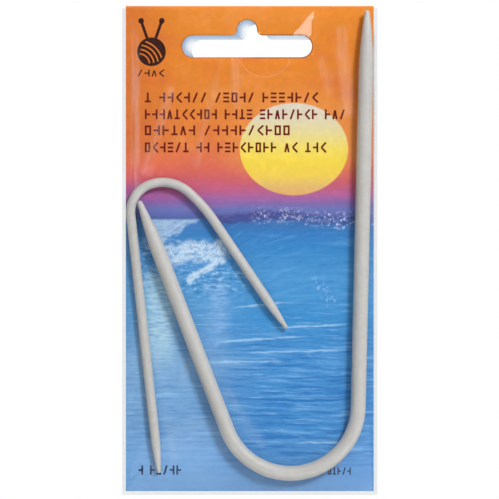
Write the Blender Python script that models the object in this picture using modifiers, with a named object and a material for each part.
"""Hang-up pack of two U-shaped cable needles: a thick one and a thin one on a printed card in a clear pouch.

Metres, +Z up. The pack hangs upright with its printed front facing -Y. The origin is the centre of
the pouch's back, on its outer face, so every depth below is a distance in front of that face.
"""

import math

import bmesh
import bpy

MM = 0.001

# Card, with a Euro hanging slot: a long bar with a bump for a single hook above its middle
CARD_WIDTH = 69.0 * MM
CARD_HEIGHT = 135.0 * MM
CARD_THICKNESS = 0.45 * MM
SLOT_OFFSET_X = -0.75 * MM
SLOT_BAR_LENGTH = 36.2 * MM
SLOT_BAR_HEIGHT = 6.1 * MM
SLOT_TOP_TO_CARD_TOP = 8.15 * MM
SLOT_BUMP_RADIUS = 2.8 * MM
SLOT_BUMP_FILLET = 1.5 * MM
ARC_STEPS = 6  # segments in a quarter turn of the slot's outline

# Pouch: two trays of thin film, welded rim to rim round three sides and open at the top
FILM = 0.1 * MM
SIDE_CLEARANCE = 0.4 * MM
MOUTH_BELOW_CARD_TOP = 0.6 * MM
WELD_WIDTH = 0.6 * MM
WELD_GAP = 0.05 * MM
FRONT_DEPTH = 5.15 * MM
FRONT_ROUNDING = 1.6 * MM
BACK_ROUNDING = 0.3 * MM
ROUNDING_STEPS = 3
# The films' own slots are punched a little right of and below the card's
FRONT_SLOT_SHIFT = (0.5 * MM, -0.35 * MM)
BACK_SLOT_SHIFT = (2.7 * MM, -1.2 * MM)

# Depths of the layers, counted forward from the back of the pouch
CLEARANCE = 0.1 * MM
CARD_BACK = FILM + CLEARANCE
CARD_FRONT = CARD_BACK + CARD_THICKNESS
SEAM = CARD_FRONT + WELD_GAP

# Needles. Headings are degrees clockwise from +Z, seen from the front; a run is a straight length or a bend.
RING_SIDES = 20
DEGREES_PER_RING = 4.5
TAPER_RINGS = 7
TIP_RINGS = 4

LARGE = {
    "name": "large_needle",
    "radius": 2.08 * MM,
    "tip_radius": 0.65 * MM,
    "taper": 18.0 * MM,
    "start": (-30.72 * MM, 13.28 * MM),
    "heading": 159.0,
    "runs": (("straight", 68.1 * MM), ("bend", 18.85 * MM, -157.7), ("straight", 110.2 * MM)),
}
SMALL = {
    "name": "small_needle",
    "radius": 1.3 * MM,
    "tip_radius": 0.47 * MM,
    "taper": 11.5 * MM,
    "start": (-25.2 * MM, -62.27 * MM),
    "heading": -6.28,
    "runs": (
        ("straight", 71.95 * MM),
        ("bend", 8.16 * MM, 79.28),
        ("bend", 10.88 * MM, 57.7),
        ("bend", 40.0 * MM, 15.3),
        ("straight", 36.25 * MM),
    ),
}


def clear_scene():
    for obj in list(bpy.data.objects):
        bpy.data.objects.remove(obj, do_unlink=True)


def new_collection(name):
    collection = bpy.data.collections.new(name)
    bpy.context.scene.collection.children.link(collection)
    return collection


def plain_material(name, colour, roughness, metallic=0.0, alpha=1.0):
    material = bpy.data.materials.new(name)
    material.use_nodes = True
    shader = material.node_tree.nodes["Principled BSDF"]
    shader.inputs["Base Color"].default_value = (*colour, 1.0)
    shader.inputs["Roughness"].default_value = roughness
    shader.inputs["Metallic"].default_value = metallic
    shader.inputs["Alpha"].default_value = alpha
    material.diffuse_color = (*colour, alpha)
    return material


def arc_points(centre, radius, first, last):
    """Points on an arc from first to last degrees, anticlockwise when last is the larger."""
    steps = max(2, round(abs(last - first) / 90 * ARC_STEPS))
    angles = [math.radians(first + (last - first) * i / steps) for i in range(steps + 1)]
    return [(centre[0] + radius * math.cos(a), centre[1] + radius * math.sin(a)) for a in angles]


def slot_bar_top():
    return CARD_HEIGHT / 2 - SLOT_TOP_TO_CARD_TOP


def slot_outline(shift=(0.0, 0.0)):
    """The Euro slot, anticlockwise from the lower end of its right-hand end: bar, bump, bar."""
    end = SLOT_BAR_HEIGHT / 2
    reach = SLOT_BAR_LENGTH / 2 - end
    middle = slot_bar_top() - end
    flank = SLOT_BUMP_RADIUS + SLOT_BUMP_FILLET
    bump = slot_bar_top() + SLOT_BUMP_FILLET
    outline = arc_points((reach, middle), end, -90, 90)
    outline += arc_points((flank, bump), SLOT_BUMP_FILLET, 270, 180)
    outline += arc_points((0, bump), SLOT_BUMP_RADIUS, 0, 180)[1:-1]
    outline += arc_points((-flank, bump), SLOT_BUMP_FILLET, 0, -90)
    outline += arc_points((-reach, middle), end, 90, 270)
    return [(x + SLOT_OFFSET_X + shift[0], z + shift[1]) for x, z in outline]


def flat_curve(name, outlines, thickness, depth, collection):
    """Upright plate with the given outlines, the later ones holes in the first, centred on a depth."""
    curve = bpy.data.curves.new(name, "CURVE")
    curve.dimensions = "2D"
    curve.fill_mode = "BOTH"
    curve.extrude = thickness / 2
    for outline in outlines:
        spline = curve.splines.new("POLY")
        spline.points.add(len(outline) - 1)
        for point, (x, z) in zip(spline.points, outline):
            point.co = (x, z, 0.0, 1.0)
        spline.use_cyclic_u = True
    obj = bpy.data.objects.new(name, curve)
    obj.location = (0.0, -depth, 0.0)
    obj.rotation_euler = (math.pi / 2, 0.0, 0.0)
    collection.objects.link(obj)
    return obj


def curve_to_mesh(obj, collection):
    """Turns a curve object into a mesh object with welded caps, and removes the curve."""
    bpy.context.view_layer.update()
    name = obj.name
    depsgraph = bpy.context.evaluated_depsgraph_get()
    mesh = bpy.data.meshes.new_from_object(obj.evaluated_get(depsgraph))
    bm = bmesh.new()
    bm.from_mesh(mesh)
    bmesh.ops.remove_doubles(bm, verts=bm.verts, dist=1e-7)
    bm.to_mesh(mesh)
    bm.free()
    matrix = obj.matrix_world.copy()
    bpy.data.objects.remove(obj, do_unlink=True)
    solid = bpy.data.objects.new(name, mesh)
    solid.matrix_world = matrix
    collection.objects.link(solid)
    return solid


def make_card(parts):
    half_width = CARD_WIDTH / 2
    half_height = CARD_HEIGHT / 2
    edge = [(-half_width, -half_height), (half_width, -half_height), (half_width, half_height)]
    edge.append((-half_width, half_height))
    middle = (CARD_BACK + CARD_FRONT) / 2
    card = flat_curve("card", [edge, slot_outline()], CARD_THICKNESS, middle, parts)
    card.data.materials.append(plain_material("printed_card", (0.24, 0.52, 0.76), 0.5))
    return card


def make_slot_cutter(name, shift, cutters):
    """Solid the shape of the slot, long enough to go through the whole pack."""
    length = 4 * FRONT_DEPTH
    cutter = curve_to_mesh(flat_curve(name, [slot_outline(shift)], length, 0.0, cutters), cutters)
    cutter.hide_render = True
    cutter.display_type = "WIRE"
    return cutter


def make_film(name, seam, depth, rounding, slot, parts):
    """Tray of film with a flat weld rim round its sides and bottom.

    depth is that of its flat side's inner face, and seam that of the rim's inner face. The film's
    thickness goes outwards from these faces.
    """
    half = CARD_WIDTH / 2 + SIDE_CLEARANCE
    bottom = -CARD_HEIGHT / 2 - SIDE_CLEARANCE
    top = CARD_HEIGHT / 2 - MOUTH_BELOW_CARD_TOP
    outward = -1 if depth > seam else 1

    bm = bmesh.new()
    bmesh.ops.create_cube(bm, size=2.0)
    for vert in bm.verts:
        on_seam = vert.co.y * outward < 0
        vert_depth = seam if on_seam else depth
        vert.co = (half * vert.co.x, -vert_depth, top if vert.co.z > 0 else bottom)
    bm.normal_update()
    gone = [f for f in bm.faces if f.normal.z > 0.9 or f.normal.y * outward < -0.9]
    bmesh.ops.delete(bm, geom=gone, context="FACES")

    rim = [e for e in bm.edges if e.is_boundary and all(abs(v.co.y + seam) < 1e-7 for v in e.verts)]
    new = bmesh.ops.extrude_edge_only(bm, edges=rim)["geom"]
    for vert in [g for g in new if isinstance(g, bmesh.types.BMVert)]:
        vert.co.x += math.copysign(WELD_WIDTH, vert.co.x)
        if abs(vert.co.z - bottom) < 1e-7:
            vert.co.z -= WELD_WIDTH

    def is_fold(edge):
        return not edge.is_boundary and all(abs(v.co.y + seam) > 1e-7 for v in edge.verts)

    folds = [e for e in bm.edges if is_fold(e)]
    bmesh.ops.bevel(
        bm, geom=folds, offset=rounding, segments=ROUNDING_STEPS, profile=0.5, affect="EDGES"
    )
    bmesh.ops.recalc_face_normals(bm, faces=bm.faces)
    front_face = max(bm.faces, key=lambda f: f.calc_area())
    if front_face.normal.y * outward < 0:
        bmesh.ops.reverse_faces(bm, faces=bm.faces)

    mesh = bpy.data.meshes.new(name)
    bm.to_mesh(mesh)
    bm.free()
    film = bpy.data.objects.new(name, mesh)
    parts.objects.link(film)
    shell = film.modifiers.new("thickness", "SOLIDIFY")
    shell.thickness = FILM
    shell.offset = 1.0
    shell.use_even_offset = True
    cut = film.modifiers.new("hanging slot", "BOOLEAN")
    cut.operation = "DIFFERENCE"
    cut.object = slot
    film.data.materials.append(plain_material(name + "_clear", (0.93, 0.95, 0.97), 0.08, alpha=0.15))
    return film


def run_length(run):
    return run[1] if run[0] == "straight" else run[1] * math.radians(abs(run[2]))


def point_at(needle, distance):
    """The point of a needle's centre line at a distance along it, as (x, z)."""
    x, z = needle["start"]
    heading = math.radians(needle["heading"])
    for run in needle["runs"]:
        length = run_length(run)
        step = min(distance, length)
        if run[0] == "straight":
            x += step * math.sin(heading)
            z += step * math.cos(heading)
        else:
            turn = math.radians(run[2]) * step / length
            radius = math.copysign(run[1], run[2])
            x += radius * (math.cos(heading) - math.cos(heading + turn))
            z += radius * (math.sin(heading + turn) - math.sin(heading))
            heading += turn
        distance -= step
        if distance <= 0:
            break
    return x, z


def shaft_radius(needle, from_tip):
    """Radius at a distance from the nearer tip: a rounded point, a swelling cone, then the shaft."""
    tip = needle["tip_radius"]
    along = min(1.0, from_tip / needle["taper"])
    radius = tip + (needle["radius"] - tip) * math.sin(math.pi / 2 * along)
    if from_tip < tip:
        radius *= math.sqrt(1 - (1 - from_tip / tip) ** 2)
    return radius


def ring_distances(needle):
    """Distances along the centre line of the rings: close together on the tips and round the bends."""
    total = sum(run_length(run) for run in needle["runs"])
    tip = needle["tip_radius"]
    ends = [tip * (1 - math.cos(math.pi / 2 * (i + 0.5) / TIP_RINGS)) for i in range(TIP_RINGS)]
    ends += [tip + (needle["taper"] - tip) * i / TAPER_RINGS for i in range(TAPER_RINGS + 1)]
    rings = ends + [total - d for d in ends]
    start = 0.0
    for run in needle["runs"]:
        length = run_length(run)
        if run[0] == "bend":
            steps = math.ceil(abs(run[2]) / DEGREES_PER_RING)
            rings += [start + length * i / steps for i in range(steps + 1)]
        start += length
    return total, sorted(set(round(d, 7) for d in rings))


def make_needle(needle, colour, parts):
    """A needle lying flat on the card."""
    total, rings = ring_distances(needle)
    curve = bpy.data.curves.new(needle["name"], "CURVE")
    curve.dimensions = "3D"
    curve.bevel_depth = needle["radius"]
    curve.bevel_resolution = (RING_SIDES - 4) // 2
    curve.use_fill_caps = True
    spline = curve.splines.new("POLY")
    spline.points.add(len(rings) - 1)
    origin = point_at(needle, total / 2)
    depth = CARD_FRONT + CLEARANCE + needle["radius"]
    for point, distance in zip(spline.points, rings):
        x, z = point_at(needle, distance)
        point.co = (x - origin[0], 0.0, z - origin[1], 1.0)
        point.radius = shaft_radius(needle, min(distance, total - distance)) / needle["radius"]
    spline.use_smooth = True
    obj = bpy.data.objects.new(needle["name"], curve)
    obj.location = (origin[0], -depth, origin[1])
    parts.objects.link(obj)
    obj.data.materials.append(plain_material(needle["name"] + "_coat", colour, 0.4, metallic=0.1))
    return obj


def build():
    clear_scene()
    parts = new_collection("cable_needle_pack")
    cutters = new_collection("cutters")
    make_card(parts)
    front_slot = make_slot_cutter("front_slot_cutter", FRONT_SLOT_SHIFT, cutters)
    back_slot = make_slot_cutter("back_slot_cutter", BACK_SLOT_SHIFT, cutters)
    make_film("front_film", SEAM, FRONT_DEPTH, FRONT_ROUNDING, front_slot, parts)
    make_film("back_film", SEAM - WELD_GAP, FILM, BACK_ROUNDING, back_slot, parts)
    make_needle(LARGE, (0.58, 0.56, 0.52), parts)
    make_needle(SMALL, (0.60, 0.57, 0.53), parts)


build()
